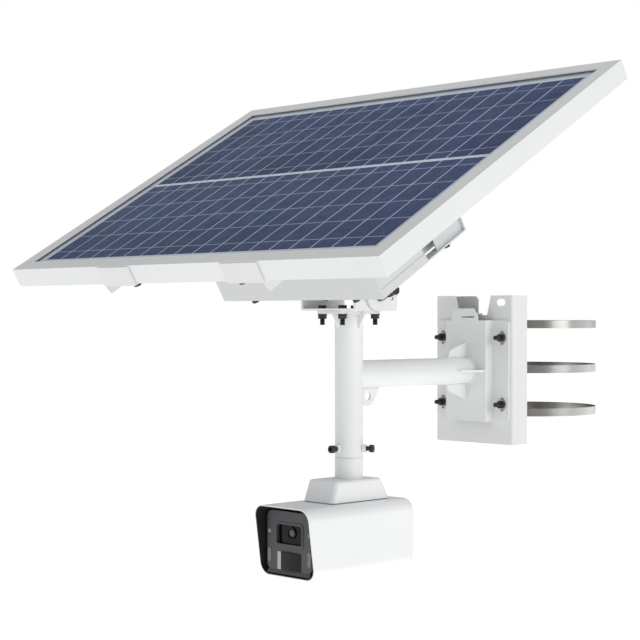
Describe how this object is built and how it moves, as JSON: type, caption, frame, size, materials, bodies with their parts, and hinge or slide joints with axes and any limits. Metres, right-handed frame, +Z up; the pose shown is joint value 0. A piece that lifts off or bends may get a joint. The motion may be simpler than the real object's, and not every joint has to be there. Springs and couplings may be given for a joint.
{
  "type": "solar security camera",
  "caption": "Bullet security camera hanging from an arm on a pole adapter, under a tilting solar panel with a battery box and a turning head.",
  "frame": {"origin": "middle of the saddle plate's rear face, where it rests against the pole, at the height of the arm's axis", "axes": "+Y points into the pole, -Y along the arm towards the camera, +Z up, +X to the right of someone who looks along +Y"},
  "size_m": [0.8704, 0.9947, 0.8297],
  "materials": {
    "coated_steel": "white powder coat, satin",
    "stainless": "polished stainless steel",
    "dark_fastener": "dark zinc-nickel plate",
    "frame_aluminium": "white anodised, satin",
    "panel_glass": "low-iron tempered glass, gloss",
    "solar_cell": "polycrystalline silicon, blue",
    "backsheet": "white laminate",
    "black_plastic": "matte",
    "battery_plastic": "fine texture",
    "battery_cell": "shrink wrap",
    "circuit": "solder mask",
    "housing": "white enamel, satin",
    "gasket": "matte",
    "core": "black anodised, matte",
    "bezel": "fine satin",
    "window": "polished",
    "barrel": "matte black",
    "lens": "coated glass",
    "lamp": "clear lens",
    "sensor_lens": "smooth"
  },
  "bodies": {
    "wall_mount": {"adapter_box": "coated_steel", "saddle_plate": "coated_steel", "strap_top": "stainless", "strap_middle": "stainless", "strap_bottom": "stainless", "strap_buckles": "stainless", "strap_screws": "dark_fastener", "arm_plate": "coated_steel", "arm_ribs": "coated_steel", "arm_tube": "coated_steel", "upright_tube": "coated_steel", "top_flange": "coated_steel", "flange_gussets": "coated_steel", "safety_lug": "coated_steel", "clamp_nuts": "coated_steel", "clamp_screws": "dark_fastener", "plate_bolts": "dark_fastener", "plate_washers": "stainless", "plate_nuts": "dark_fastener", "flange_bolts": "dark_fastener", "flange_nuts": "dark_fastener"},
    "yoke": {"tilt_yoke": "coated_steel"},
    "panel_carrier": {"tilt_ears": "coated_steel", "friction_washers": "stainless", "pivot_bolts": "dark_fastener", "lock_bolts": "dark_fastener", "tilt_nuts": "dark_fastener", "battery_tray": "coated_steel", "battery_case": "battery_plastic", "battery_lid": "battery_plastic", "battery_gland": "black_plastic", "battery_cells": "battery_cell", "charge_controller": "circuit", "tray_bolts": "dark_fastener", "rail_left": "coated_steel", "rail_right": "coated_steel", "rail_bolts": "dark_fastener", "frame_front": "frame_aluminium", "frame_back": "frame_aluminium", "frame_left": "frame_aluminium", "frame_right": "frame_aluminium", "panel_glass": "panel_glass", "solar_cells": "solar_cell", "panel_backsheet": "backsheet", "panel_junction_box": "black_plastic"},
    "camera": {"drop_tube": "coated_steel", "mount_cover": "housing", "cover_gasket": "gasket", "camera_shell": "housing", "rear_cap": "housing", "camera_core": "core", "face_plate": "bezel", "lens_window": "window", "lens_barrel": "barrel", "lens_glass": "lens", "spot_lamps": "lamp", "flood_lamps": "lamp", "pir_lens": "sensor_lens", "circuit_boards": "circuit"},
    "ir_filter": {"ir_cut_filter": "lens"}
  },
  "joints": [
    {"name": "panel_pan", "type": "hinge", "parent": "wall_mount", "child": "yoke", "pos_m": [0, -0.3602, 0.1097], "axis": [0, 0, 1], "range_deg": [-10, 10]},
    {"name": "panel_tilt", "type": "hinge", "parent": "yoke", "child": "panel_carrier", "pos_m": [0, -0.3585, 0.136], "axis": [1, 0, 0], "range_deg": [-20, 25]},
    {"name": "camera_pan", "type": "hinge", "parent": "wall_mount", "child": "camera", "pos_m": [0, -0.3602, -0.1], "axis": [0, 0, 1], "range_deg": [-180, 180]},
    {"name": "ir_filter_slide", "type": "slide", "parent": "camera", "child": "ir_filter", "axis": [-1, 0, 0], "range_m": [0, 0.009]}
  ]
}
